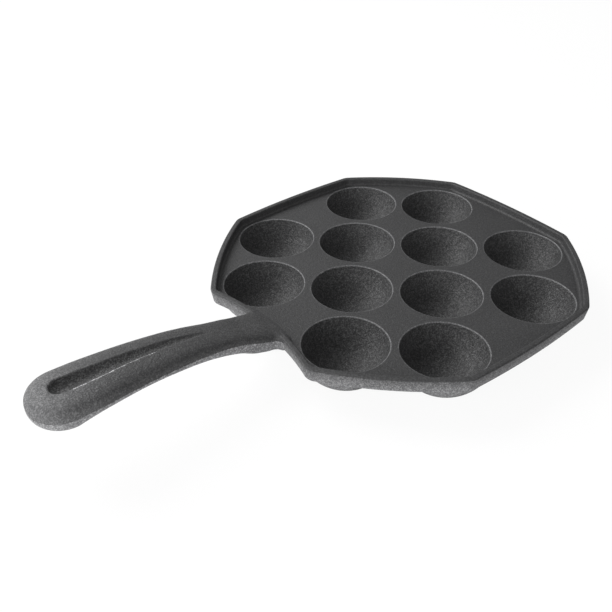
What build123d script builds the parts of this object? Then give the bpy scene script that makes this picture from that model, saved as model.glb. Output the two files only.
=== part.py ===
from build123d import *
from math import atan2, cos, pi, radians, sin, sqrt
import os

# Cast iron aebleskiver pan with twelve round wells, in millimetres.
# The origin lies on the stand plane under the middle of the whole length, +Z is up,
# and the handle points along -X. The functions work round the middle of the wells,
# and every piece is moved by pan_middle when it is written.
# The real pan is one sand casting. Its features are parted here at their natural
# borders, so that each is a solid of its own and meets its neighbours face to face.

# Wells
WELL_PITCH = 56.0
WELL_MOUTH_DIAMETER = 51.2
WELL_DEPTH = 22.0
WELL_EDGE_RADIUS = 0.7

# Cups that hang under the deck, one round each well
CUP_WALL = 4.0
CUP_FOOT_DIAMETER = 17.0
CUP_BLEND_RADIUS = 2.0

# Deck and rim. A web is the strip of deck between the outer wells and the foot of the lip,
# and a rise tells how far the middle of a side lies outside its corners. A drop share tells
# how much of the rise is gone abreast of the wells. The handle side is hollow, and its
# middle sinks inside the line along the wells.
DECK_THICKNESS = 4.4
FLAT_SIDE_WEB = 0.9
FLAT_SIDE_RISE = 2.3
FLAT_DROP_SHARE = 0.6
BOWED_SIDE_WEB = 1.5
BOWED_SIDE_RISE = 4.1
BOWED_DROP_SHARE = 0.37
HANDLE_SIDE_SINK = 3.1
HANDLE_SIDE_HOLLOW = 7.2
DECK_BORDER_SHARE = 0.4
CORNER_RADIUS = 8.0
LIP_HEIGHT = 5.3
LIP_WIDTH = 3.8
LIP_FOOT_RADIUS = 1.5
LIP_EDGE_RADIUS = 0.9
WALL_DRAFT = 1.5
WALL_FOOT_RADIUS = 1.4

# Handle
HANDLE_REACH = 247.5
NECK_START_GAP = 11.0
GRIP_WIDTH = 37.0
GRIP_RISE = 18.0
GRIP_CROWN = 8.2
GRIP_BELLY = 15.0

# Thumb channel along the top of the grip
CHANNEL_WIDTH = 12.4
CHANNEL_DEPTH = 2.9
CHANNEL_END_TURNS = (20, 40, 60, 80)

# One overrun serves all cuts
OVERRUN = 5.0

# Wells stand on a square grid, turned so that its diagonal follows the handle:
# four rows of four, with the places in the corners left empty
GRID_TURN = 45.0
GRID_STEPS = (-1.5, -0.5, 0.5, 1.5)
GRID_LIMIT = 2.5

# Sections across the handle, from inside the rim to the middle of the round end.
# Shares: how far along, width, height of the widest line over the deck, crown, belly.
# Fullness of crown and belly: 2 is an ellipse and more is boxier.
# Shares of the thumb channel there: width and depth.
HANDLE_SECTION_SHARES = (
    (0.000, 0.800, 0.13, 0.70, 0.38, 2.4, 5.0, 0.00, 0.00),
    (0.073, 0.795, 0.16, 0.68, 0.44, 2.5, 5.0, 0.00, 0.00),
    (0.122, 0.760, 0.25, 0.60, 0.57, 2.8, 5.0, 0.00, 0.00),
    (0.168, 0.712, 0.35, 0.54, 0.61, 3.4, 5.0, 0.00, 0.00),
    (0.222, 0.680, 0.47, 0.55, 0.59, 3.6, 4.2, 0.00, 0.00),
    (0.278, 0.665, 0.56, 0.59, 0.55, 3.6, 3.6, 0.00, 0.00),
    (0.324, 0.675, 0.63, 0.62, 0.53, 3.5, 3.2, 0.05, 0.02),
    (0.407, 0.725, 0.75, 0.68, 0.51, 3.4, 2.7, 0.29, 0.21),
    (0.515, 0.790, 0.86, 0.75, 0.50, 3.3, 2.4, 0.48, 0.38),
    (0.690, 0.885, 0.96, 0.85, 0.48, 3.2, 2.2, 0.66, 0.62),
    (0.870, 0.985, 1.00, 0.90, 0.64, 3.2, 2.2, 0.89, 0.86),
    (0.952, 1.000, 1.00, 0.97, 0.90, 3.2, 2.2, 0.97, 0.97),
    (1.000, 1.000, 1.00, 1.00, 1.00, 3.2, 2.2, 1.00, 1.00),
)
HALF_SECTION_STEPS = 16

# Radii and heights that follow from the sizes above
well_mouth_radius = WELL_MOUTH_DIAMETER / 2
well_radius = (well_mouth_radius ** 2 + WELL_DEPTH ** 2) / (2 * WELL_DEPTH)
cup_radius = well_radius + CUP_WALL
foot_radius = CUP_FOOT_DIAMETER / 2
sphere_height = sqrt(cup_radius ** 2 - foot_radius ** 2)
deck_top = sphere_height - well_radius + WELL_DEPTH
deck_underside = deck_top - DECK_THICKNESS
lip_top = deck_top + LIP_HEIGHT
wall_height = LIP_HEIGHT + DECK_THICKNESS
lip_reach = LIP_WIDTH + LIP_FOOT_RADIUS
deck_border = lip_reach + DECK_BORDER_SHARE * FLAT_SIDE_WEB
flat_wells_line = WELL_PITCH * sqrt(2) + well_mouth_radius + WELL_EDGE_RADIUS
bowed_wells_line = WELL_PITCH * max(GRID_STEPS) + well_mouth_radius + WELL_EDGE_RADIUS
flat_side_reach = flat_wells_line + FLAT_SIDE_WEB + lip_reach + FLAT_DROP_SHARE * FLAT_SIDE_RISE
bowed_side_reach = bowed_wells_line + BOWED_SIDE_WEB + lip_reach + BOWED_DROP_SHARE * BOWED_SIDE_RISE
handle_side_reach = flat_wells_line - HANDLE_SIDE_SINK + lip_reach
handle_first = handle_side_reach - lip_reach
handle_last = HANDLE_REACH - GRIP_WIDTH / 2
neck_start = handle_side_reach + NECK_START_GAP
pan_middle = (HANDLE_REACH - flat_side_reach) / 2
grid_places = [(i, j) for j in GRID_STEPS for i in GRID_STEPS if abs(i) + abs(j) < GRID_LIMIT]


def turned(x, y, angle):
    """Point turned about the middle of the wells."""
    return x * cos(angle) - y * sin(angle), x * sin(angle) + y * cos(angle)


def outline(inset, height):
    """Outer edge at the top of the lip, or a line inside it: eight arcs, one of them hollow."""
    flat = (flat_side_reach, FLAT_SIDE_RISE)
    bowed = (bowed_side_reach, BOWED_SIDE_RISE)
    hollow = (handle_side_reach, -HANDLE_SIDE_HOLLOW)
    sides = (flat, bowed, flat, bowed, hollow, bowed, flat, bowed)
    turn = 2 * pi / len(sides)
    crests = []
    corners = []
    for number, (reach, rise) in enumerate(sides):
        after_reach, after_rise = sides[(number + 1) % len(sides)]
        chord = reach - rise - inset
        after_chord = after_reach - after_rise - inset
        along = (after_chord - chord * cos(turn)) / sin(turn)
        crests.append(turned(reach - inset, 0, number * turn))
        corners.append(turned(chord, along, number * turn))
    edges = [ThreePointArc(corners[k - 1], crests[k], corners[k]) for k in range(len(sides))]
    face = fillet(make_face(edges).vertices(), CORNER_RADIUS - inset)
    return Pos(0, 0, height) * face


def pan_block():
    """Deck and rim wall as one drafted block."""
    return loft([outline(WALL_DRAFT, deck_underside), outline(0, lip_top)], ruled=True)


def pocket():
    """Space inside the lip, down to the deck, with a rounded foot."""
    space = extrude(outline(LIP_WIDTH, deck_top), amount=LIP_HEIGHT + GRIP_RISE + GRIP_CROWN)
    return fillet(space.edges().group_by(Axis.Z)[0], LIP_FOOT_RADIUS)


def deck_space():
    """Upright region that belongs to the deck, inside the web between the lip and the wells."""
    return extrude(outline(deck_border, deck_underside), amount=wall_height + OVERRUN)


def half_oval(x, half_width, height, above, below, side):
    """Curve from the top of a section down one side to its bottom."""
    points = []
    for k in range(HALF_SECTION_STEPS + 1):
        angle = pi / 2 - pi * k / HALF_SECTION_STEPS
        size, fullness = above if angle > 0 else below
        across = max(cos(angle), 0) ** (2 / fullness)
        up = abs(sin(angle)) ** (2 / fullness)
        points.append((x, side * half_width * across, height + (size if angle > 0 else -size) * up))
    points[0] = (x, 0, height + above[0])
    points[-1] = (x, 0, height - below[0])
    return Spline(*points, tangents=[(0, side, 0), (0, -side, 0)])


def section_sizes(row):
    """Station, half-width, height of the widest line, and the crown and belly with their fullness."""
    along, width, rise, crown, belly, crown_fullness, belly_fullness, _, _ = row
    x = -(handle_first + along * (handle_last - handle_first))
    height = deck_top + rise * GRIP_RISE
    above = (crown * GRIP_CROWN, crown_fullness)
    below = (belly * GRIP_BELLY, belly_fullness)
    return x, width * GRIP_WIDTH / 2, height, above, below


def handle_section(row):
    """Face across the handle."""
    sizes = section_sizes(row)
    return Face(Wire([half_oval(*sizes, 1), half_oval(*sizes, -1)]))


def handle_body():
    """Neck and grip lofted through their sections, with the end turned about an upright axis."""
    bar = loft([handle_section(row) for row in HANDLE_SECTION_SHARES])
    sizes = section_sizes(HANDLE_SECTION_SHARES[-1])
    x, _, height, above, below = sizes
    spine = Line((x, 0, height - below[0]), (x, 0, height + above[0]))
    half = Face(Wire([half_oval(*sizes, 1), spine]))
    return bar + revolve(half, Axis((x, 0, 0), (0, 0, 1)), 180)


def channel_ring(x, height, radius):
    """Round of the channel's cutter, across the handle."""
    return Plane((x, 0, height), x_dir=(0, 1, 0), z_dir=(-1, 0, 0)) * Circle(radius)


def thumb_channel():
    """Scoop that widens and deepens along the grip and ends in a round."""
    rings = []
    for row in HANDLE_SECTION_SHARES:
        if row[-1] == 0:
            continue
        x, _, height, above, _ = section_sizes(row)
        half_width = row[-2] * CHANNEL_WIDTH / 2
        depth = row[-1] * CHANNEL_DEPTH
        radius = (half_width ** 2 + depth ** 2) / (2 * depth)
        middle = height + above[0] - depth + radius
        rings.append(channel_ring(x, middle, radius))
    for turn in CHANNEL_END_TURNS:
        rings.append(channel_ring(x - radius * sin(radians(turn)), middle, radius * cos(radians(turn))))
    return loft(rings)


def well():
    """Round hollow of one well, placed by its middle at deck height."""
    return Pos(0, 0, well_radius - WELL_DEPTH) * Sphere(well_radius)


def grid_place(i, j):
    """Middle of one well at deck height, with axes along the grid."""
    return Pos(0, 0, deck_top) * Rot(0, 0, -GRID_TURN) * Pos(WELL_PITCH * i, WELL_PITCH * j, 0)


def ring_frame():
    """Deck plate and rim, with the lip's two edges and the foot of the wall rounded."""
    body = pan_block() - pocket()
    body = fillet(body.edges().group_by(Axis.Z)[-1], LIP_EDGE_RADIUS)
    return fillet(body.edges().group_by(Axis.Z)[0], WALL_FOOT_RADIUS)


def neck_space():
    """Everything beyond the plane where the neck leaves the rim."""
    size = 4 * HANDLE_REACH
    return Pos(-neck_start - size / 2, 0, 0) * Box(size, size, size)


def handle():
    """Neck and grip beyond the root, with the thumb channel."""
    return (handle_body() - thumb_channel()) & neck_space()


def frame():
    """Rim, deck plate and the handle's root in one, before the wells."""
    return ring_frame() + (handle_body() - pocket() - neck_space())


def deck_plate(body):
    """Flat deck with the mouths of the wells, each with a rounded edge."""
    plate = body & deck_space()
    for i, j in grid_places:
        plate = plate - grid_place(i, j) * well()
    rounds = plate.edges().filter_by(GeomType.CIRCLE)
    mouths = rounds.filter_by(lambda edge: well_mouth_radius / 2 < edge.radius < WELL_PITCH / 2)
    top_mouths = mouths.group_by(Axis.Z)[-1]
    return fillet(top_mouths, WELL_EDGE_RADIUS)


def cup_form():
    """Outside of one cup: a ball with a flat foot that blends out into the deck's underside."""
    blend_height = deck_underside - CUP_BLEND_RADIUS
    drop = sphere_height - blend_height
    blend_reach = sqrt((cup_radius + CUP_BLEND_RADIUS) ** 2 - drop ** 2)
    share = cup_radius / (cup_radius + CUP_BLEND_RADIUS)
    touch = (blend_reach * share, sphere_height - drop * share)
    low = atan2(foot_radius, sphere_height)
    high = atan2(touch[0], sphere_height - touch[1])
    side = (low + high) / 2
    bend = high / 2
    profile = make_face([
        Line((0, deck_underside), (0, 0)),
        Line((0, 0), (foot_radius, 0)),
        ThreePointArc(
            (foot_radius, 0),
            (cup_radius * sin(side), sphere_height - cup_radius * cos(side)),
            touch,
        ),
        ThreePointArc(
            touch,
            (blend_reach - CUP_BLEND_RADIUS * sin(bend), blend_height + CUP_BLEND_RADIUS * cos(bend)),
            (blend_reach, deck_underside),
        ),
        Line((blend_reach, deck_underside), (0, deck_underside)),
    ])
    return revolve(Plane.XZ * profile, Axis.Z)


def cup_share(i, j):
    """Region of one cup: half the pitch towards a neighbour, and the whole pitch where none stands."""
    west, east = [WELL_PITCH / 2 if (i + step, j) in grid_places else WELL_PITCH for step in (-1, 1)]
    south, north = [WELL_PITCH / 2 if (i, j + step) in grid_places else WELL_PITCH for step in (-1, 1)]
    box = Box(west + east, south + north, 4 * cup_radius)
    return Pos((east - west) / 2, (north - south) / 2, 0) * box


def cups():
    """Every cup in its place, from the far row to the near one."""
    form = Pos(0, 0, -deck_top) * cup_form() - well()
    return [grid_place(i, j) * (form & cup_share(i, j)) for i, j in grid_places]


if __name__ == "__main__":
    os.makedirs("parts", exist_ok=True)
    pan = frame()
    pieces = {"handle": handle(), "rim": pan - deck_space(), "griddle_deck": deck_plate(pan)}
    for number, cup in enumerate(cups(), start=1):
        pieces[f"well_cup_{number:02d}"] = cup
    for name, piece in pieces.items():
        export_step(Pos(pan_middle, 0, 0) * piece, f"parts/{name}.step")
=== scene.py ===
from math import asin, atan2, cos, pi, radians, sin, sqrt, tan

import bmesh
import bpy
from mathutils import Matrix, Vector


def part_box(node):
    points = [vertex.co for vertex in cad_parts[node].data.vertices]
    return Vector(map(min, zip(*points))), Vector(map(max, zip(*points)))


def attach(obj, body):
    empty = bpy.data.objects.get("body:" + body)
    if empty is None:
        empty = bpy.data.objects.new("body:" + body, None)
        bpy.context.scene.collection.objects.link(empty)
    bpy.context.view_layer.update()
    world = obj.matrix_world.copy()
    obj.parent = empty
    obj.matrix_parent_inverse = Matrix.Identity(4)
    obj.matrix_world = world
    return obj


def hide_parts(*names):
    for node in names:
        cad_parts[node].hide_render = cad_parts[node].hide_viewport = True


bl_info = {
    "name": "Aebleskiver pan",
    "version": (1, 0, 0),
    "blender": (4, 5, 0),
    "location": "3D View > Sidebar > Pan",
    "description": "Models a cast iron pan with round wells, finishes its skin and lights it",
    "category": "Object",
}

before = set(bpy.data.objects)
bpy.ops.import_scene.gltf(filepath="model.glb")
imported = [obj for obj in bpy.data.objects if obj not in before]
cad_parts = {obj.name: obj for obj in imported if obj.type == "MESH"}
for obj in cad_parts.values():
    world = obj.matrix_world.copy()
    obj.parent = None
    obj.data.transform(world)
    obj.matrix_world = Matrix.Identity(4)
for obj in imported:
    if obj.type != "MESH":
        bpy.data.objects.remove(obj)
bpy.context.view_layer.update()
MM = 0.001

DECK_LOW, DECK_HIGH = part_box("griddle_deck")
CUPS = sorted(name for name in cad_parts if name.startswith("well_cup"))
CUP_BOXES = [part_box(name) for name in CUPS]
FIELD_MIDDLE = (min(low.x for low, _ in CUP_BOXES) + max(high.x for _, high in CUP_BOXES)) / 2

# Wells stand on a square grid whose diagonal follows the handle: four rows of four,
# with the places in the corners left empty.
STEPS = (-1.5, -0.5, 0.5, 1.5)
PLACES = [(i, j) for j in STEPS for i in STEPS if abs(i) + abs(j) < 2.5]
TO_PAN = Matrix.Translation((FIELD_MIDDLE, 0, 0)) @ Matrix.Rotation(radians(-45), 4, "Z")

# Sections across the handle, from inside the rim to the middle of the round end.
# Shares: how far along, width, height of the widest line over the deck, crown, belly.
# Fullness of crown and belly: 2 is an ellipse and more is boxier.
# Shares of the thumb channel there: width and depth.
HANDLE_SECTION_SHARES = (
    (0.000, 0.800, 0.13, 0.30, 0.52, 2.4, 5.0, 0.00, 0.00),
    (0.073, 0.795, 0.16, 0.62, 0.60, 2.5, 5.0, 0.00, 0.00),
    (0.122, 0.760, 0.25, 0.60, 0.64, 2.8, 5.0, 0.00, 0.00),
    (0.168, 0.712, 0.35, 0.54, 0.66, 3.4, 5.0, 0.00, 0.00),
    (0.222, 0.680, 0.47, 0.55, 0.59, 3.6, 4.2, 0.00, 0.00),
    (0.278, 0.665, 0.56, 0.59, 0.55, 3.6, 3.6, 0.00, 0.00),
    (0.324, 0.675, 0.63, 0.62, 0.53, 3.5, 3.2, 0.05, 0.02),
    (0.407, 0.725, 0.75, 0.68, 0.51, 3.4, 2.7, 0.29, 0.21),
    (0.515, 0.790, 0.86, 0.75, 0.50, 3.3, 2.4, 0.48, 0.38),
    (0.690, 0.885, 0.96, 0.85, 0.48, 3.2, 2.2, 0.66, 0.62),
    (0.870, 0.985, 1.00, 0.90, 0.60, 3.2, 2.1, 0.89, 0.86),
    (0.952, 1.000, 1.00, 0.97, 0.74, 3.2, 2.1, 0.97, 0.97),
    (1.000, 1.000, 1.00, 1.00, 0.83, 3.2, 2.2, 1.00, 1.00),
)

# The handle's rings, the points of each, and the steps of its round end. The channel has
# rings along the grip and more at these turns of its ball end, in degrees.
HANDLE_RINGS = 150
RING_POINTS = 96
END_STEPS = 48
CHANNEL_RINGS = 60
CHANNEL_POINTS = 128
CHANNEL_END_TURNS = (20, 40, 60, 80)
# Half of the neck's width at the wall, as a share of the grip's width.
NECK_SHARE = 0.45

# Points along one side of the outline, steps of one rounded corner, and steps round a well.
SIDE_POINTS = 16
CORNER_STEPS = 8
WELL_STEPS = 96

# Flat ring round each loop that the fill of the deck meets.
HEM = 0.15 * MM
# Flat ring along the edge of a cup's foot.
FOOT_RING = 0.5 * MM
# Each ring of the lip goes this much further in, because an inset of nothing makes no ring.
CREEP = 0.00001 * MM

# How near two places count as one: on a cut, in a part, on a level, where parts meet, and
# in the handle's round end.
HAIR = 0.0005 * MM
NEAR = 0.001 * MM
LEVEL = 0.002 * MM
WELD = 0.003 * MM
END_WELD = 0.02 * MM

# Stretch of rim that is joined with the handle: half of its length, how far it runs on into
# the deck, its steps, and how far it stays under the rim's own skin.
BLOCK_HALF = 32 * MM
BLOCK_INWARDS = 3 * MM
BLOCK_STEPS = 40
UNDER_SKIN = 0.08 * MM
# Where the root is smoothed: to either side of the handle's middle, outwards and inwards
# from the wall, and how far over the deck's underside. It is smoothed in rounds.
ROOT_HALF = 30 * MM
ROOT_OUTWARDS = 4 * MM
ROOT_INWARDS = 7.5 * MM
ROOT_OVER = 1 * MM
ROOT_ROUNDS = 8
# A handle that joined its root has far more faces than this.
LEAST_FACES = 1000

# Places of the skins in a piece's list of materials. The hollows' skin is darker as painted shade,
# and the edge skin is a painted highlight.
TOP, SHADED_HOLLOWS, OUTSIDE, HIGHLIGHTS = 0, 1, 2, 3
# The painted highlight covers this share of the rounding at a well's mouth.
MOUTH_HIGHLIGHT_SHARE = 0.8
# The underside's skin starts this far under the handle's widest line, and the channel's
# skin this far under the crown.
UNDER_PARTING = 0.4 * MM
UNDER_CROWN = 0.7 * MM
# Painted highlight along the near edge of the thumb channel: from and to, in shares of the
# channel's half-width and of the handle. The channel's round end lies beyond the last section.
HIGHLIGHT_ACROSS_SHARES = (0.93, 1.12)
HIGHLIGHT_ALONG_SHARES = (0.6, 0.97)
CHANNEL_STOP_SHARE = 1.05

# Size of the faint patches in the iron.
PATCH = 28 * MM
# The outer wall's skin turns lighter as painted light from the floor, from this far over the
# deck down to this far over the deck's underside.
FLOOR_LIGHT_OVER_DECK = 6 * MM
FLOOR_LIGHT_OVER_UNDERSIDE = 1 * MM
# The grip's skin turns lighter between these distances from its end, as painted light.
LIT_END_FROM, LIT_END_TO = 45 * MM, 5 * MM

# Floor: half of its width, and how far it lies under the pan's feet.
FLOOR_HALF = 6.0
FLOOR_DROP = 0.3 * MM
# Share of plain white in the floor as the camera sees it. The rest shows the shadow.
FLOOR_WHITE = 0.93
WHITE = (1.0, 1.0, 1.0, 1.0)

# Lamps: place and size in metres. They face a point just over the floor.
LAMP_TARGET = Vector((0, 0, 0.03))
LAMPS = {
    "key": ((-0.35, 0.9, 0.95), 0.9),
    "front": ((-0.75, -1.15, 0.16), 0.9),
    "left": ((-1.45, 0.15, 0.3), 0.8),
}

# Camera, from the middle of the wells, solved from the photo's grid of wells.
CAMERA_PLACE = Vector((-305.1, -289.9, 298.1)) * MM
CAMERA_RIGHT = Vector((0.78126, -0.62415, -0.00895))
CAMERA_UP = Vector((0.37453, 0.45725, 0.80663))
CAMERA_BACK = Vector((-0.49937, -0.63354, 0.59099))


def length(name, description, default):
    """A size in metres that shows as a length in the panel."""
    return bpy.props.FloatProperty(
        name=name, description=description, default=default, min=0.0, unit="LENGTH", precision=4
    )


def colour(name, description, default):
    """A colour that shows as a swatch in the panel."""
    return bpy.props.FloatVectorProperty(
        name=name, description=description, default=default, size=4, min=0.0, max=1.0,
        subtype="COLOR",
    )


def strength(name, description, default):
    """A plain number that is never negative."""
    return bpy.props.FloatProperty(name=name, description=description, default=default, min=0.0)


class PanSizes(bpy.types.PropertyGroup):
    """Sizes of the round body with its wells"""

    pitch: length("Pitch", "Distance between the middles of two wells", 56.0 * MM)
    mouth: length("Well mouth", "Width of a well at the deck", 51.2 * MM)
    depth: length("Well depth", "Depth of a well under the deck", 22.0 * MM)
    mouth_edge: length("Mouth edge", "Radius along the mouth of a well", 0.7 * MM)
    cup_wall: length("Cup wall", "Thickness of a cup", 4.0 * MM)
    cup_foot: length("Cup foot", "Width of the flat under a cup", 17.0 * MM)
    cup_blend: length("Cup blend", "Radius between a cup and the deck", 1.0 * MM)
    flat_side: length(
        "Flat side", "Distance from the middle to the crest of a flatter side", 113.08 * MM
    )
    flat_rise: length("Flat side rise", "How far its crest lies outside its corners", 2.3 * MM)
    bowed_side: length(
        "Bowed side", "Distance from the middle to the crest of a bowed side", 118.62 * MM
    )
    bowed_rise: length("Bowed side rise", "How far its crest lies outside its corners", 4.1 * MM)
    handle_side: length(
        "Handle side", "Distance from the middle to the side with the handle", 107.7 * MM
    )
    hollow: length("Handle side hollow", "How far its middle lies inside its corners", 7.2 * MM)
    corner: length("Corner", "Radius of a corner of the outline", 8.0 * MM)
    lip_height: length("Lip height", "Height of the lip over the deck", 5.3 * MM)
    lip_width: length("Lip width", "Width of the lip at its foot", 3.8 * MM)
    lip_edge: length("Lip edge", "Radius along the top of the lip", 0.9 * MM)
    lip_foot: length("Lip foot", "Radius between the lip and the deck", 1.5 * MM)
    draft: length("Wall draft", "How far the outer wall leans in towards its foot", 1.5 * MM)
    wall_foot: length("Wall foot", "Radius along the foot of the outer wall", 1.4 * MM)


class HandleSizes(bpy.types.PropertyGroup):
    """Sizes of the handle"""

    reach: length(
        "Reach", "Distance from the middle of the wells to the end of the handle", 248.0 * MM
    )
    width: length("Width", "Width of the grip at its round end", 37.0 * MM)
    rise: length("Rise", "Height of the widest line over the deck at the end", 18.0 * MM)
    crown: length("Crown", "Height of the grip's top over its widest line", 8.2 * MM)
    belly: length("Belly", "Depth of the grip's underside below its widest line", 15.0 * MM)
    channel_width: length("Channel width", "Width of the thumb channel at its end", 12.4 * MM)
    channel_depth: length("Channel depth", "Depth of the thumb channel at its end", 4.2 * MM)
    root: length("Root radius", "Radius between the handle's sides and the wall", 5.0 * MM)
    mesh_size: length(
        "Mesh size", "Spacing of the mesh that joins the handle to its root", 0.5 * MM
    )


class IronFinish(bpy.types.PropertyGroup):
    """Finish of the seasoned iron"""

    iron: colour("Iron", "Seasoned skin", (0.027, 0.027, 0.028, 1.0))
    # Colour of the pale specks: partly proud grain, partly painted glints.
    pale_iron: colour("Pale iron", "Skin where the grain stands proud", (0.150, 0.150, 0.152, 1.0))
    grain: length("Grain", "Size of the sand grain", 0.8 * MM)
    grain_height: length("Grain height", "Height of the sand grain", 0.35 * MM)


class StageLook(bpy.types.PropertyGroup):
    """Floor, lights and camera"""

    floor: colour("Floor", "Pale floor", (0.92, 0.92, 0.92, 1.0))
    key: strength("Key light", "Strength of the light behind and to the left", 24.0)
    front: strength("Front light", "Strength of the low light in front", 12.0)
    left: strength("Left light", "Strength of the light beyond the handle's end", 15.0)
    sky: strength("Sky", "Strength of the even light from all round", 0.4)
    lens: strength("Lens", "Focal length in millimetres", 44.49)


# Mesh helpers

def finished(bm, name):
    """Turns a bmesh into an object at the origin."""
    mesh = bpy.data.meshes.new(name)
    bm.to_mesh(mesh)
    bm.free()
    obj = bpy.data.objects.new(name, mesh)
    bpy.context.scene.collection.objects.link(obj)
    return obj


def applied(obj):
    """Applies an object's modifiers to its mesh."""
    graph = bpy.context.evaluated_depsgraph_get()
    mesh = bpy.data.meshes.new_from_object(obj.evaluated_get(graph))
    old = obj.data
    obj.modifiers.clear()
    obj.data = mesh
    bpy.data.meshes.remove(old)
    return obj


def combined(obj, tool, operation):
    """Joins or cuts one solid with another, which is used up."""
    step = obj.modifiers.new("combine", "BOOLEAN")
    step.operation = operation
    step.solver = "EXACT"
    step.object = tool
    applied(obj)
    bpy.data.objects.remove(tool)
    return obj


def chain(bm, points):
    """Open line of vertices through points."""
    verts = [bmesh.ops.create_vert(bm, co=p)["vert"][0] for p in points]
    edges = [bm.edges.new(pair) for pair in zip(verts, verts[1:])]
    return verts + edges


def spun(points, steps):
    """Surface of revolution about the upright axis through the origin."""
    bm = bmesh.new()
    geom = chain(bm, [(r, 0, z) for r, z in points])
    bmesh.ops.spin(
        bm, geom=geom, cent=(0, 0, 0), axis=(0, 0, 1), angle=2 * pi, steps=steps, use_merge=True
    )
    bmesh.ops.remove_doubles(bm, verts=bm.verts[:], dist=NEAR)
    return bm


def arc(centre, radius, start, stop, steps):
    """Points of an arc in the plane of a profile, with angles in radians."""
    turns = [start + (stop - start) * k / steps for k in range(steps + 1)]
    return [(centre[0] + radius * cos(t), centre[1] + radius * sin(t)) for t in turns]


def step_in(bm, face, across, up):
    """One more ring inside a face, a little further in and up along the face's normal."""
    bmesh.ops.inset_region(
        bm, faces=[face], thickness=across, depth=up, use_even_offset=True, use_boundary=True
    )


def follow(bm, face, points):
    """Rings inside a face along a profile of (distance in, height)."""
    for (a, b), (c, d) in zip(points, points[1:]):
        step_in(bm, face, c - a, d - b)


def close_level(bm, height):
    """Fills the flat between all open loops at one height."""
    level = [
        e for e in bm.edges
        if e.is_boundary and all(abs(v.co.z - height) < LEVEL for v in e.verts)
    ]
    bmesh.ops.triangle_fill(bm, edges=level, use_beauty=True, use_dissolve=False)


# Outline of the pan

def arc_through(start, crest, stop, count):
    """Points between start and stop on the circle through three points."""
    a, b = crest - start, stop - start
    d = 2 * (a.x * b.y - a.y * b.x)
    centre = start + Vector((b.y * a.length_squared - a.y * b.length_squared,
                             a.x * b.length_squared - b.x * a.length_squared, 0)) / d
    first, last = start - centre, stop - centre
    turn = atan2(first.x * last.y - first.y * last.x, first.dot(last))
    steps = [turn * k / (count + 1) for k in range(1, count + 1)]
    return [centre + Matrix.Rotation(step, 3, "Z") @ first for step in steps]


def outline_face(bm, sizes, inwards, height):
    """Flat face with the pan's outline: eight arcs, one of them hollow, and rounded corners."""
    flat = (sizes.flat_side, sizes.flat_rise)
    bowed = (sizes.bowed_side, sizes.bowed_rise)
    hollow = (sizes.handle_side, -sizes.hollow)
    sides = (flat, bowed, flat, bowed, hollow, bowed, flat, bowed)
    turn = pi / 4
    verts = bmesh.ops.create_circle(bm, cap_ends=False, radius=1.0, segments=len(sides))["verts"]
    verts.sort(key=lambda v: (atan2(v.co.y, v.co.x) + turn / 2) % (2 * pi))
    for number, (reach, rise) in enumerate(sides):
        after_reach, after_rise = sides[(number + 1) % len(sides)]
        chord = reach - rise
        along = (after_reach - after_rise - chord * cos(turn)) / sin(turn)
        verts[number].co = Matrix.Rotation(number * turn, 3, "Z") @ Vector((chord, along, 0))
    for number, (reach, _) in enumerate(sides):
        start, stop = verts[number - 1], verts[number]
        crest = Matrix.Rotation(number * turn, 3, "Z") @ Vector((reach, 0, 0))
        point = start
        for place in arc_through(start.co.copy(), crest, stop.co.copy(), SIDE_POINTS):
            point = bmesh.utils.edge_split(bm.edges.get((point, stop)), point, 0.5)[1]
            point.co = place
    for vert in verts:
        before, after = (edge.other_vert(vert).co for edge in vert.link_edges)
        bend = (vert.co - before).angle(after - vert.co)
        bmesh.ops.bevel(
            bm, geom=[vert], offset=sizes.corner * tan(bend / 2), affect="VERTICES",
            segments=CORNER_STEPS, profile=0.5, material=-1,
        )
    face = bmesh.ops.contextual_create(bm, geom=bm.edges[:])["faces"][0]
    face.normal_update()
    if face.normal.z < 0:
        face.normal_flip()
    bmesh.ops.transform(bm, matrix=Matrix.Translation((FIELD_MIDDLE, 0, height)), verts=bm.verts[:])
    step_in(bm, face, inwards, 0)
    bmesh.ops.delete(bm, geom=[f for f in bm.faces if f is not face], context="FACES")
    return face


def rim_halves(sizes, deck_top, deck_low):
    """Lip above the widest loop of the wall, and the wall below it."""
    lip_top = deck_top + sizes.lip_height
    wall = lip_top - deck_low
    edge, foot = sizes.lip_edge, sizes.lip_foot
    start = sizes.draft * edge / wall
    upper = bmesh.new()
    face = outline_face(upper, sizes, start, lip_top - edge)
    points = [(edge - x, z) for x, z in arc((0, 0), edge, 0, pi / 2, steps=5)]
    width = sizes.lip_width - start
    points += [(x + width - edge, z) for x, z in arc((0, 0), edge, pi / 2, 0, steps=5)]
    low = edge - sizes.lip_height + foot
    points += [(width + foot - x, low - z) for x, z in arc((0, 0), foot, 0, pi / 2, steps=5)]
    points = [(x + CREEP * k, z) for k, (x, z) in enumerate(points)]
    follow(upper, face, points)
    step_in(upper, face, HEM, 0)
    bmesh.ops.delete(upper, geom=[face], context="FACES_ONLY")
    lower = bmesh.new()
    face = outline_face(lower, sizes, start, lip_top - edge)
    face.normal_flip()
    drop = wall - edge - sizes.wall_foot
    lean = sizes.draft * drop / wall
    step_in(lower, face, lean, drop)
    radius = sizes.wall_foot
    turned = arc((0, 0), radius, 0, pi / 2, steps=4)
    follow(lower, face, [(radius - x, z) for x, z in turned])
    bmesh.ops.delete(lower, geom=[face], context="FACES_ONLY")
    return upper, lower


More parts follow.
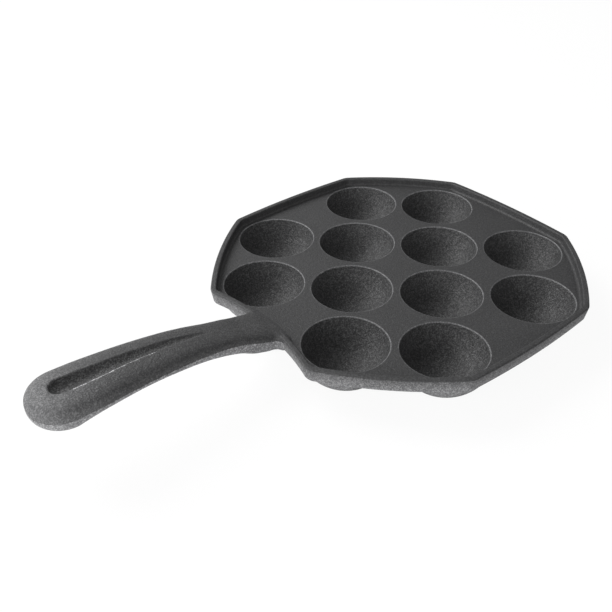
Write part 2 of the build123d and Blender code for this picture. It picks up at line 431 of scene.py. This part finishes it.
def well_lining(sizes, deck_top):
    """Inside of one well with its rounded mouth and a narrow flat round it."""
    mouth, depth, edge = sizes.mouth / 2, sizes.depth, sizes.mouth_edge
    radius = (mouth ** 2 + depth ** 2) / (2 * depth)
    middle = deck_top + radius - depth
    edge_reach = sqrt((radius + edge) ** 2 - (middle - deck_top + edge) ** 2)
    lean = atan2(edge_reach, middle - deck_top + edge)
    points = [(edge_reach + HEM, deck_top)]
    points += arc((edge_reach, deck_top - edge), edge, pi / 2, pi / 2 + lean, steps=6)
    ball = arc((0, middle), radius, lean - pi / 2, -pi / 2, steps=24)
    points += ball[1:-1] + [(0, middle - radius)]
    return spun(points, WELL_STEPS)


def cup_shell(sizes, deck_low):
    """Outside of one cup: a ball with a flat foot that blends out into the deck's underside."""
    mouth, depth, foot = sizes.mouth / 2, sizes.depth, sizes.cup_foot / 2
    radius = (mouth ** 2 + depth ** 2) / (2 * depth) + sizes.cup_wall
    middle = sqrt(radius ** 2 - foot ** 2)
    blend = sizes.cup_blend
    drop = middle - deck_low + blend
    reach = sqrt((radius + blend) ** 2 - drop ** 2)
    lean = atan2(reach, drop)
    low = atan2(foot, middle)
    points = arc((reach, deck_low - blend), blend, pi / 2, pi / 2 + lean, steps=6)
    points += arc((0, middle), radius, lean - pi / 2, low - pi / 2, steps=26)[1:]
    points += [(foot - FOOT_RING, 0), (foot / 2, 0), (0, 0)]
    return spun(points, WELL_STEPS)


def pan_mesh(sizes):
    """One closed skin: deck with its wells, lip, outer wall and the cups underneath."""
    deck_low, deck_top = DECK_LOW.z, DECK_HIGH.z
    body = bmesh.new()
    for half, skin in zip(rim_halves(sizes, deck_top, deck_low), (TOP, OUTSIDE)):
        add_to(body, half, Matrix.Identity(4), skin)
    lining = well_lining(sizes, deck_top)
    shell = cup_shell(sizes, deck_low)
    for i, j in PLACES:
        place = Matrix.Translation((i * sizes.pitch, j * sizes.pitch, 0))
        # Well linings get the darker skin: painted shade inside the wells.
        add_to(body, lining.copy(), TO_PAN @ place, SHADED_HOLLOWS)
        cup = shell.copy()
        for di, dj in ((-1, 0), (1, 0), (0, -1), (0, 1)):
            if (i + di, j + dj) in PLACES:
                border = Vector((di, dj, 0))
                bmesh.ops.bisect_plane(
                    cup, geom=cup.verts[:] + cup.edges[:] + cup.faces[:], dist=HAIR,
                    plane_co=border * sizes.pitch / 2, plane_no=border, clear_outer=True,
                )
        add_to(body, cup, TO_PAN @ place, OUTSIDE)
    lining.free()
    shell.free()
    bmesh.ops.remove_doubles(body, verts=body.verts[:], dist=WELD)
    close_level(body, deck_top)
    close_level(body, deck_low)
    bmesh.ops.recalc_face_normals(body, faces=body.faces[:])
    for face in body.faces:
        face.smooth = True
        height = face.calc_center_median().z
        if abs(height - deck_top) < NEAR:
            face.material_index = TOP
        elif abs(height - deck_low) < NEAR:
            face.material_index = OUTSIDE
        # The top of each well's mouth rounding gets a painted highlight.
        elif face.material_index == SHADED_HOLLOWS and height > deck_top - MOUTH_HIGHLIGHT_SHARE * sizes.mouth_edge:
            face.material_index = HIGHLIGHTS
    return body


def add_to(body, part, place, material):
    """Moves a part into place and adds it to the body, with one of the body's materials."""
    for face in part.faces:
        face.material_index = material
    bmesh.ops.transform(part, matrix=place, verts=part.verts[:])
    mesh = bpy.data.meshes.new("part")
    part.to_mesh(mesh)
    part.free()
    body.from_mesh(mesh)
    bpy.data.meshes.remove(mesh)


# Handle

def row_at(rows, along):
    """Row of values at a place along the handle, on smooth curves through the rows."""
    along = min(max(along, rows[0][0]), rows[-1][0])
    k = max(n for n in range(len(rows) - 1) if rows[n][0] <= along)
    a, b = rows[k], rows[k + 1]
    before, after = rows[max(k - 1, 0)], rows[min(k + 2, len(rows) - 1)]
    span = b[0] - a[0]
    t = (along - a[0]) / span
    values = [along]
    for column in range(1, len(a)):
        rise_a = (b[column] - before[column]) / (b[0] - before[0]) * span
        rise_b = (after[column] - a[column]) / (after[0] - a[0]) * span
        values.append(
            (2 * t ** 3 - 3 * t ** 2 + 1) * a[column] + (t ** 3 - 2 * t ** 2 + t) * rise_a
            + (3 * t ** 2 - 2 * t ** 3) * b[column] + (t ** 3 - t ** 2) * rise_b
        )
    return values


def section_at(pan, sizes, along):
    """Section at a share of the handle, with lengths in place of most shares.

    Distance from the wells' middle, half-width, height, crown, belly, fullness of both, and
    the channel's width and depth, which stay shares."""
    row = row_at(HANDLE_SECTION_SHARES, along)
    first = pan.handle_side - pan.lip_width - pan.lip_foot
    out = first + along * (sizes.reach - sizes.width / 2 - first)
    half = row[1] * sizes.width / 2
    height = DECK_HIGH.z + row[2] * sizes.rise
    return out, half, height, row[3] * sizes.crown, row[4] * sizes.belly, *row[5:]


def flare(distance, radius):
    """Extra half-width that rounds the handle's side out into the wall."""
    if distance >= radius:
        return 0.0
    away = radius - max(distance, 0)
    return radius - sqrt(radius ** 2 - away ** 2)


def section_point(angle, half, height, crown, belly, crown_fullness, belly_fullness):
    """Point of a section at an angle from its widest line."""
    size, fullness = (crown, crown_fullness) if sin(angle) >= 0 else (-belly, belly_fullness)
    across = abs(cos(angle)) ** (2 / fullness) * (1 if cos(angle) >= 0 else -1)
    return half * across, height + size * abs(sin(angle)) ** (2 / fullness)


def handle_solid(pan, sizes):
    """Neck and grip swept through their sections, with the end turned about an upright axis."""
    bm = bmesh.new()
    bmesh.ops.create_circle(bm, cap_ends=True, radius=1.0, segments=RING_POINTS)
    mark = bm.verts.layers.float.new("turn")
    for vert in bm.verts:
        vert[mark] = atan2(vert.co.y, vert.co.x)
    sag = (NECK_SHARE * sizes.width) ** 2 / (2 * hollow_radius(pan))
    wall = pan.handle_side + sag - pan.draft / 2
    edges = bm.edges[:]
    for k in range(HANDLE_RINGS + 1):
        section = section_at(pan, sizes, k / HANDLE_RINGS)
        out, half, height, crown, belly, upper, lower, _, _ = section
        half += flare(out - wall, sizes.root)
        if k:
            made = bmesh.ops.extrude_edge_only(bm, edges=edges)["geom"]
            edges = [g for g in made if isinstance(g, bmesh.types.BMEdge) and g.is_boundary]
        for vert in {v for e in edges for v in e.verts}:
            y, z = section_point(vert[mark], half, height, crown, belly, upper, lower)
            vert.co = (FIELD_MIDDLE - out, y, z)
    right = [e for e in edges if all(v.co.y >= -NEAR for v in e.verts)]
    geom = list({v for e in right for v in e.verts}) + right
    bmesh.ops.spin(
        bm, geom=geom, cent=(FIELD_MIDDLE - out, 0, 0), axis=(0, 0, 1), angle=pi, steps=END_STEPS,
        use_merge=False,
    )
    bmesh.ops.remove_doubles(bm, verts=bm.verts[:], dist=END_WELD)
    bmesh.ops.recalc_face_normals(bm, faces=bm.faces[:])
    return finished(bm, "handle_solid")


def channel_solid(pan, sizes):
    """Cutter of the thumb channel: rounds that grow along the grip and close like a ball."""
    bm = bmesh.new()
    edges = None
    rings = []
    rows = [row[0] for row in HANDLE_SECTION_SHARES if row[-1] > 0]
    for k in range(CHANNEL_RINGS + 1):
        along = rows[0] + (rows[-1] - rows[0]) * k / CHANNEL_RINGS
        out, _, height, crown, _, _, _, width, depth = section_at(pan, sizes, along)
        half, deep = width * sizes.channel_width / 2, depth * sizes.channel_depth
        radius = (half ** 2 + deep ** 2) / (2 * deep)
        rings.append((out, height + crown - deep + radius, radius))
    out, middle, radius = rings[-1]
    for turn in CHANNEL_END_TURNS:
        rings.append((out + radius * sin(radians(turn)), middle, radius * cos(radians(turn))))
    upright = Matrix.Rotation(pi / 2, 4, "Y")
    for out, middle, radius in rings:
        made = bmesh.ops.create_circle(
            bm, cap_ends=False, radius=radius, segments=CHANNEL_POINTS,
            matrix=Matrix.Translation((FIELD_MIDDLE - out, 0, middle)) @ upright,
        )
        ring = list({e for v in made["verts"] for e in v.link_edges})
        if edges:
            bmesh.ops.bridge_loops(bm, edges=edges + ring)
        edges = ring
    bmesh.ops.holes_fill(bm, edges=[e for e in bm.edges if e.is_boundary], sides=0)
    bmesh.ops.recalc_face_normals(bm, faces=bm.faces[:])
    return finished(bm, "channel_solid")


def hollow_radius(pan):
    """Radius of the hollow side that the handle grows from."""
    half = (pan.bowed_side - pan.bowed_rise) * sqrt(2) - pan.handle_side - pan.hollow
    return (half ** 2 + pan.hollow ** 2) / (2 * pan.hollow)


def root_block(pan):
    """Stretch of the rim where the handle grows from it, just under the rim's own skin."""
    skin = UNDER_SKIN
    deck_low, deck_top = DECK_LOW.z, DECK_HIGH.z
    lip_top = deck_top + pan.lip_height
    outer, inner = pan.handle_side, pan.handle_side - pan.lip_width
    deck_reach = inner - BLOCK_INWARDS
    bm = bmesh.new()
    points = [
        (outer - pan.draft - skin + pan.wall_foot * 0.1, deck_low + pan.wall_foot),
        (outer - skin, lip_top - pan.lip_edge),
        (outer - pan.lip_edge, lip_top - skin), (inner + pan.lip_edge, lip_top - skin),
        (inner + skin, lip_top - pan.lip_edge), (inner + skin, deck_top - skin),
        (deck_reach, deck_top - skin), (deck_reach, deck_low + skin),
        (outer - pan.draft - pan.wall_foot, deck_low + skin),
    ]
    radius = hollow_radius(pan)
    middle = Vector((FIELD_MIDDLE - pan.handle_side - radius, 0, 0))
    turn = asin(BLOCK_HALF / radius)
    corners = [(FIELD_MIDDLE - out, 0, z) for out, z in points]
    verts = [bmesh.ops.create_vert(bm, co=corner)["vert"][0] for corner in corners]
    face = bmesh.ops.contextual_create(bm, geom=verts)["faces"][0]
    bmesh.ops.rotate(bm, cent=middle, matrix=Matrix.Rotation(-turn, 3, "Z"), verts=bm.verts[:])
    bmesh.ops.spin(
        bm, geom=face.verts[:] + face.edges[:] + [face], cent=middle, axis=(0, 0, 1),
        angle=2 * turn, steps=BLOCK_STEPS, use_merge=False,
    )
    bmesh.ops.remove_doubles(bm, verts=bm.verts[:], dist=HAIR)
    bmesh.ops.holes_fill(bm, edges=[e for e in bm.edges if e.is_boundary], sides=0)
    bmesh.ops.recalc_face_normals(bm, faces=bm.faces[:])
    return finished(bm, "root_block")


def soften_root(obj, pan):
    """Rounds off the corners between the handle and the rim."""
    bm = bmesh.new()
    bm.from_mesh(obj.data)
    wall = FIELD_MIDDLE - pan.handle_side
    near = [
        v for v in bm.verts
        if wall - ROOT_OUTWARDS < v.co.x < wall + ROOT_INWARDS
        and abs(v.co.y) < ROOT_HALF and v.co.z > DECK_LOW.z + ROOT_OVER
    ]
    for _ in range(ROOT_ROUNDS):
        bmesh.ops.smooth_vert(
            bm, verts=near, factor=0.5, use_axis_x=True, use_axis_y=True, use_axis_z=True
        )
    bm.to_mesh(obj.data)
    bm.free()


def part_skins(obj, pan, sizes):
    """Skins of the underside, the channel's painted shade and a painted highlight on its edge."""
    first = section_at(pan, sizes, 0)[0]
    last = section_at(pan, sizes, 1)[0]
    near_edge, far_edge = HIGHLIGHT_ACROSS_SHARES
    start, stop = HIGHLIGHT_ALONG_SHARES
    for face in obj.data.polygons:
        place = face.center
        along = (FIELD_MIDDLE - place.x - first) / (last - first)
        _, _, height, crown, _, _, _, width, _ = section_at(pan, sizes, along)
        half = width * sizes.channel_width / 2
        # A band along the channel's near edge gets a painted highlight.
        at_highlight = near_edge * half < -place.y < far_edge * half and start < along < stop
        in_channel = abs(place.y) < half and place.z < height + crown - UNDER_CROWN
        # The underside gets the lighter skin, partly painted light from the floor.
        if place.z < height - UNDER_PARTING:
            face.material_index = OUTSIDE
        elif at_highlight:
            face.material_index = HIGHLIGHTS
        # The thumb channel gets the darker skin: painted shade in the groove.
        elif in_channel and along < CHANNEL_STOP_SHARE:
            face.material_index = SHADED_HOLLOWS


# Materials

class Value:
    """A number that varies over a surface, with the usual arithmetic."""

    def __init__(self, board, socket):
        self.board = board
        self.socket = socket

    def __add__(self, other):
        return self.board.maths("ADD", self, other)

    __radd__ = __add__

    def __sub__(self, other):
        return self.board.maths("SUBTRACT", self, other)

    def __rsub__(self, other):
        return self.board.maths("SUBTRACT", other, self)

    def __mul__(self, other):
        return self.board.maths("MULTIPLY", self, other)

    __rmul__ = __mul__


class Board:
    """Nodes of one material or world."""

    def __init__(self, owner):
        owner.use_nodes = True
        self.owner = owner
        self.tree = owner.node_tree
        self.tree.nodes.clear()

    def node(self, kind, settings=None, **inputs):
        """Adds a node: its settings first, then the values or links of its sockets.

        A socket goes by its name with underscores for spaces, or by i and its number."""
        made = self.tree.nodes.new(kind)
        for name, value in (settings or {}).items():
            setattr(made, name, value)
        for name, value in inputs.items():
            key = int(name[1:]) if name[1:].isdigit() else name.replace("_", " ")
            self.join(made.inputs[key], value)
        return made

    def join(self, socket, value):
        """Links a socket or sets its value."""
        if isinstance(value, Value):
            value = value.socket
        if isinstance(value, bpy.types.NodeSocket):
            self.tree.links.new(value, socket)
        else:
            socket.default_value = value

    def place(self):
        """Places on the object itself."""
        return self.node("ShaderNodeTexCoord").outputs["Object"]

    def maths(self, operation, a, b=0.0, clamp=False):
        """One Math node."""
        settings = {"operation": operation, "use_clamp": clamp}
        made = self.node("ShaderNodeMath", settings, i0=a, i1=b)
        return Value(self, made.outputs[0])

    def between(self, value, low, high):
        """Value taken from low..high to 0..1 and held there."""
        made = self.node(
            "ShaderNodeMapRange", {"clamp": True}, Value=value, From_Min=low, From_Max=high
        )
        return Value(self, made.outputs["Result"])

    def noise(self, size, detail, rough):
        """Soft noise whose blotches are about size metres wide."""
        made = self.node(
            "ShaderNodeTexNoise", Vector=self.place(), Scale=1.0 / size, Detail=detail,
            Roughness=rough,
        )
        return Value(self, made.outputs["Fac"])

    def pits(self, size):
        """Distance from scattered points, about size metres apart."""
        made = self.node(
            "ShaderNodeTexVoronoi", {"feature": "F1"}, Vector=self.place(), Scale=1.0 / size
        )
        return Value(self, made.outputs["Distance"])

    def mix(self, share, a, b):
        """Mixes two colours."""
        return self.node("ShaderNodeMix", {"data_type": "RGBA"}, i0=share, i6=a, i7=b).outputs[2]

    def blend(self, share, a, b, output):
        """Sends a blend of two shaders to the output."""
        both = self.node("ShaderNodeMixShader", i0=share, i1=a.outputs[0], i2=b.outputs[0])
        self.node(output, Surface=both.outputs[0])


def scaled(shade, level):
    """A colour made lighter or darker."""
    return tuple(min(c * level, 1.0) for c in shade[:3]) + (1.0,)


def iron(name, finish, speckle, depth, shade, turn=None):
    """Seasoned sand-cast iron: fine grain, a few pits, and pale specks where grains stand proud.

    The pale specks partly stand for painted glints on the grain. Speckle is how much the specks
    show, depth scales the grain's height and shade the colours.
    With a turn of (axis, from, to, shade) the skin turns to that shade between two places along
    the axis, as painted light where more light falls."""
    board = Board(bpy.data.materials.new(name))
    fine = board.noise(finish.grain, detail=2.5, rough=0.6)
    coarse = board.noise(finish.grain * 2.6, detail=2.0, rough=0.55)
    broad = board.noise(PATCH, detail=2.0, rough=0.5)
    pits = board.between(board.pits(finish.grain * 2.2), 0.10, 0.42)
    relief = fine * 0.6 + coarse * 0.5 + pits * 0.2
    # Pale specks where grains stand proud, partly standing for painted glints on the grain.
    proud = board.between(fine * 0.75 + coarse * 0.25, 0.45, 0.64)
    patches = board.between(broad, 0.3, 0.7)
    share = board.maths("ADD", proud * speckle, patches * 0.05, clamp=True)

    def mixed(level):
        return board.mix(share, scaled(finish.iron, level), scaled(finish.pale_iron, level))

    skin = mixed(shade)
    if turn:
        axis, start, stop, turned_shade = turn
        along = board.node("ShaderNodeSeparateXYZ", Vector=board.place()).outputs[axis]
        skin = board.mix(board.between(along, start, stop), skin, mixed(turned_shade))
    rough = 0.62 - proud * 0.12 + patches * 0.06
    bump = board.node(
        "ShaderNodeBump", Strength=1.0, Distance=finish.grain_height * depth, Height=relief
    )
    shader = board.node(
        "ShaderNodeBsdfPrincipled", Base_Color=skin, Roughness=rough, Metallic=0.0,
        Specular_IOR_Level=0.4, Normal=bump.outputs["Normal"],
    )
    board.node("ShaderNodeOutputMaterial", Surface=shader.outputs[0])
    return board.owner


def shaded_hollow_skin(finish):
    """Skin of the wells, which the thumb channel has too: darker as painted shade in hollows."""
    return bpy.data.materials.get("iron_well") or iron(
        "iron_well", finish, speckle=0.9, depth=2.0, shade=0.55
    )


# Operators

class PAN_OT_body(bpy.types.Operator):
    """Models the pan's body: deck, wells, lip, wall and cups in one skin"""

    bl_idname = "pan.body"
    bl_label = "Pan body"

    def execute(self, context):
        scene = context.scene
        piece = finished(pan_mesh(scene.pan_sizes), "pan_body")
        finish = scene.iron_finish
        # Painted light from the floor: the outer wall lightens towards its foot.
        lit_from_below = ("Z", DECK_HIGH.z + FLOOR_LIGHT_OVER_DECK, DECK_LOW.z + FLOOR_LIGHT_OVER_UNDERSIDE, 3.1)
        for skin in (
            iron("iron_top", finish, speckle=0.24, depth=1.3, shade=0.74),
            # Darker skin of the wells: painted shade in the hollows.
            shaded_hollow_skin(finish),
            # Outside: partly a less seasoned skin, partly painted light from the floor.
            iron("iron_outside", finish, speckle=0.5, depth=1.4, shade=1.1, turn=lit_from_below),
            # Pale skin at the wells' mouths: a painted highlight.
            iron("iron_edge", finish, speckle=0.4, depth=0.6, shade=2.0),
        ):
            piece.data.materials.append(skin)
        weigh = piece.modifiers.new("flat faces lead", "WEIGHTED_NORMAL")
        weigh.weight = 60
        applied(piece)
        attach(piece, "root")
        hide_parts("griddle_deck", "rim", *CUPS)
        return {"FINISHED"}


class PAN_OT_handle(bpy.types.Operator):
    """Models the handle with its thumb channel and the root that grows out of the rim"""

    bl_idname = "pan.handle"
    bl_label = "Handle"

    def execute(self, context):
        scene = context.scene
        pan, sizes = scene.pan_sizes, scene.handle_sizes
        piece = handle_solid(pan, sizes)
        piece.name = "pan_handle"
        combined(piece, root_block(pan), "UNION")
        combined(piece, channel_solid(pan, sizes), "DIFFERENCE")
        remesh = piece.modifiers.new("even mesh", "REMESH")
        remesh.mode = "VOXEL"
        remesh.voxel_size = sizes.mesh_size
        remesh.use_smooth_shade = True
        applied(piece)
        if len(piece.data.polygons) < LEAST_FACES:
            raise RuntimeError("the handle didn't join its root")
        soften_root(piece, pan)
        for face in piece.data.polygons:
            face.use_smooth = True
        part_skins(piece, pan, sizes)
        end = FIELD_MIDDLE - sizes.reach
        # Painted light: the grip lightens towards its end.
        lit_end = ("X", end + LIT_END_FROM, end + LIT_END_TO, 2.0)
        finish = scene.iron_finish
        for skin in (
            # Grip skin with painted light at its end.
            iron("iron_grip", finish, speckle=0.36, depth=1.5, shade=0.8, turn=lit_end),
            # Darker skin of the thumb channel: painted shade in the groove.
            shaded_hollow_skin(finish),
            # Belly: partly a less seasoned skin, partly painted light from the floor.
            iron("iron_belly", finish, speckle=0.5, depth=1.4, shade=3.4),
            # Pale skin on the channel's near edge: a painted highlight.
            iron("iron_channel_edge", finish, speckle=0.8, depth=1.2, shade=4.5),
        ):
            piece.data.materials.append(skin)
        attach(piece, "root")
        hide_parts("handle")
        return {"FINISHED"}


class PAN_OT_stage(bpy.types.Operator):
    """Sets the floor, the lights and the camera"""

    bl_idname = "pan.stage"
    bl_label = "Stage"

    def execute(self, context):
        scene = context.scene
        look = scene.stage_look
        self.floor(look)
        self.world(scene, look)
        for name, (place, size) in LAMPS.items():
            self.lamp(name, Vector(place), size, getattr(look, name))
        self.camera(scene, look)
        scene.view_settings.view_transform = "Standard"
        return {"FINISHED"}

    def floor(self, look):
        """Pale floor that keeps the pan's shadow."""
        bm = bmesh.new()
        bmesh.ops.create_grid(bm, x_segments=1, y_segments=1, size=FLOOR_HALF)
        floor = finished(bm, "floor")
        floor.location.z = -FLOOR_DROP
        board = Board(bpy.data.materials.new("pale_floor"))
        plain = board.node("ShaderNodeBsdfDiffuse", Color=tuple(look.floor))
        white = board.node("ShaderNodeEmission", Color=WHITE, Strength=1.0)
        path = board.node("ShaderNodeLightPath")
        seen = board.maths("MULTIPLY", path.outputs["Is Camera Ray"], FLOOR_WHITE)
        board.blend(seen, plain, white, "ShaderNodeOutputMaterial")
        floor.data.materials.append(board.owner)

    def world(self, scene, look):
        """White room that lights the pan evenly and weakly."""
        board = Board(bpy.data.worlds.new("white_room"))
        even = board.node("ShaderNodeBackground", Color=WHITE, Strength=look.sky)
        white = board.node("ShaderNodeBackground", Color=WHITE, Strength=1.0)
        path = board.node("ShaderNodeLightPath").outputs
        seen = board.maths("MAXIMUM", path["Is Camera Ray"], path["Is Transmission Ray"])
        board.blend(seen, even, white, "ShaderNodeOutputWorld")
        scene.world = board.owner

    def lamp(self, name, place, size, power):
        """Square lamp that faces the pan."""
        light = bpy.data.lights.new(name, "AREA")
        light.shape = "SQUARE"
        light.size = size
        light.energy = power
        lamp = bpy.data.objects.new(name, light)
        lamp.location = place
        lamp.rotation_mode = "QUATERNION"
        lamp.rotation_quaternion = (LAMP_TARGET - place).to_track_quat("-Z", "Y")
        bpy.context.scene.collection.objects.link(lamp)

    def camera(self, scene, look):
        """Camera where the photo was taken from."""
        data = bpy.data.cameras.new("camera")
        data.lens = look.lens
        data.sensor_width = 36.0
        data.clip_start = 0.01
        camera = bpy.data.objects.new("camera", data)
        turn = Matrix((CAMERA_RIGHT, CAMERA_UP, CAMERA_BACK)).transposed().to_4x4()
        place = CAMERA_PLACE + Vector((FIELD_MIDDLE, 0, 0))
        camera.matrix_world = Matrix.Translation(place) @ turn
        scene.collection.objects.link(camera)
        scene.camera = camera


class PAN_PT_panel(bpy.types.Panel):
    """Lists the pan's pieces and their sizes"""

    bl_idname = "PAN_PT_panel"
    bl_label = "Aebleskiver pan"
    bl_space_type = "VIEW_3D"
    bl_region_type = "UI"
    bl_category = "Pan"

    def draw(self, context):
        layout = self.layout
        for operator in OPERATORS:
            layout.operator(operator.bl_idname)
        for name in GROUPS:
            group = getattr(context.scene, name)
            box = layout.box()
            for field in group.__annotations__:
                box.prop(group, field)


GROUPS = {
    "pan_sizes": PanSizes,
    "handle_sizes": HandleSizes,
    "iron_finish": IronFinish,
    "stage_look": StageLook,
}
OPERATORS = (PAN_OT_body, PAN_OT_handle, PAN_OT_stage)


def register():
    """Adds the sizes, the operators and the panel."""
    for name, group in GROUPS.items():
        bpy.utils.register_class(group)
        setattr(bpy.types.Scene, name, bpy.props.PointerProperty(type=group))
    for kind in (*OPERATORS, PAN_PT_panel):
        bpy.utils.register_class(kind)


def unregister():
    """Takes them out again."""
    for kind in reversed((*OPERATORS, PAN_PT_panel)):
        bpy.utils.unregister_class(kind)
    for name, group in GROUPS.items():
        delattr(bpy.types.Scene, name)
        bpy.utils.unregister_class(group)


def main():
    """Builds the pan and its stage."""
    register()
    bpy.ops.pan.body()
    bpy.ops.pan.handle()
    bpy.ops.pan.stage()


if __name__ == "__main__":
    main()
